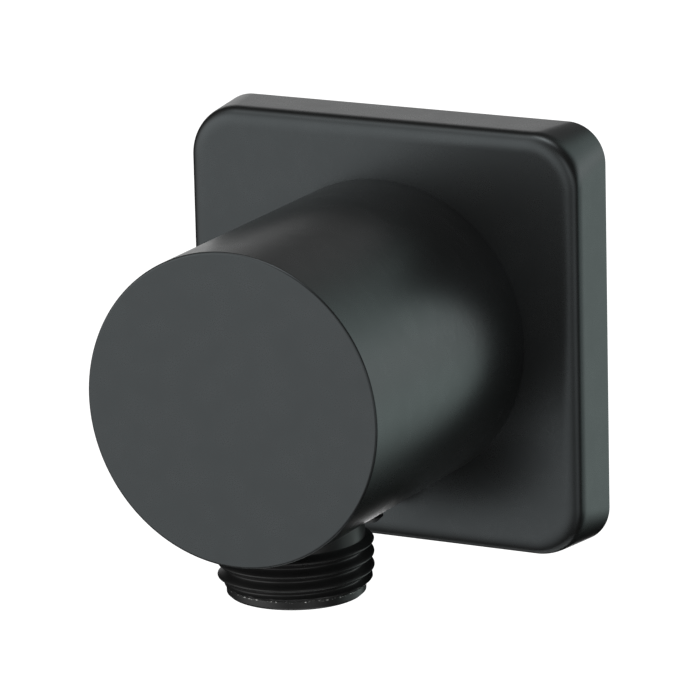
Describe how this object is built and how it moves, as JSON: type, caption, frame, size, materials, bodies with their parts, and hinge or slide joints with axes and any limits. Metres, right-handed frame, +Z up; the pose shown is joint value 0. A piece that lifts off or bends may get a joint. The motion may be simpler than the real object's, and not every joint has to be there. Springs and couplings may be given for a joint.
{
  "type": "wall outlet elbow",
  "caption": "Matt black shower wall elbow: square wall plate, round barrel standing out of it, and a male threaded hose outlet pointing down.",
  "frame": {"origin": "where the axis of the inlet and the barrel meets the wall, in the plane of the plate's back rim", "axes": "+Z up, +Y into the wall along the inlet, -Y out of the wall along the barrel, outlet down along -Z"},
  "size_m": [0.0586, 0.067, 0.0586],
  "materials": {
    "matt_black_coat": "satin",
    "black_thread": "semi-gloss",
    "turned_brass": "turned",
    "rubber": "smooth",
    "black_screw": "black oxide"
  },
  "bodies": {
    "root": {"elbow_body": "matt_black_coat", "outlet_nipple": "black_thread", "wall_connector": "turned_brass", "rear_o_ring": "rubber", "front_o_ring": "rubber", "grub_screw": "black_screw"}
  },
  "joints": []
}
